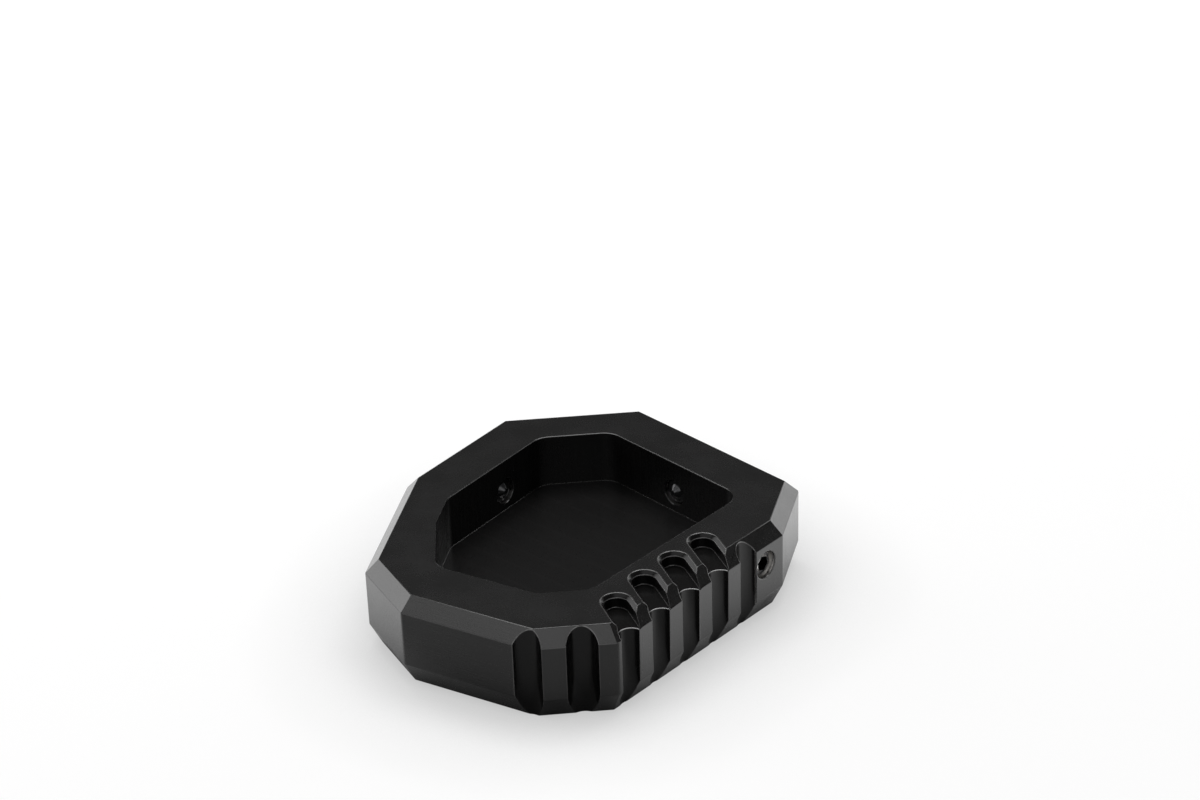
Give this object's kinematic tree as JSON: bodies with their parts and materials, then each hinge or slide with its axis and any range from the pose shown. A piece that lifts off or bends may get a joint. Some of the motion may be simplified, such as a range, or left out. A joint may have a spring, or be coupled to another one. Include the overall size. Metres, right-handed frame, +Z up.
{
  "type": "kickstand foot enlarger",
  "caption": "Many-sided milled plate with a pocket that takes the foot of a motorcycle side stand, clamped by set screws, with fluted and slotted edges.",
  "frame": {"origin": "on the underside, in the middle of the plate's overall width and depth", "axes": "+Z up, out of the pocket; the plain front side with one flute faces -Y, and the slotted side faces between -Y and +X"},
  "size_m": [0.093, 0.0936, 0.02],
  "materials": {
    "black_anodised": "black anodised over fine milling marks, satin",
    "blackened_steel": "blackened hardened steel, with bright metal showing on its edges"
  },
  "bodies": {
    "root": {"plate": "black_anodised", "set_screw_slotted_side": "blackened_steel", "set_screw_rear_right": "blackened_steel", "set_screw_rear_left": "blackened_steel"}
  },
  "joints": []
}
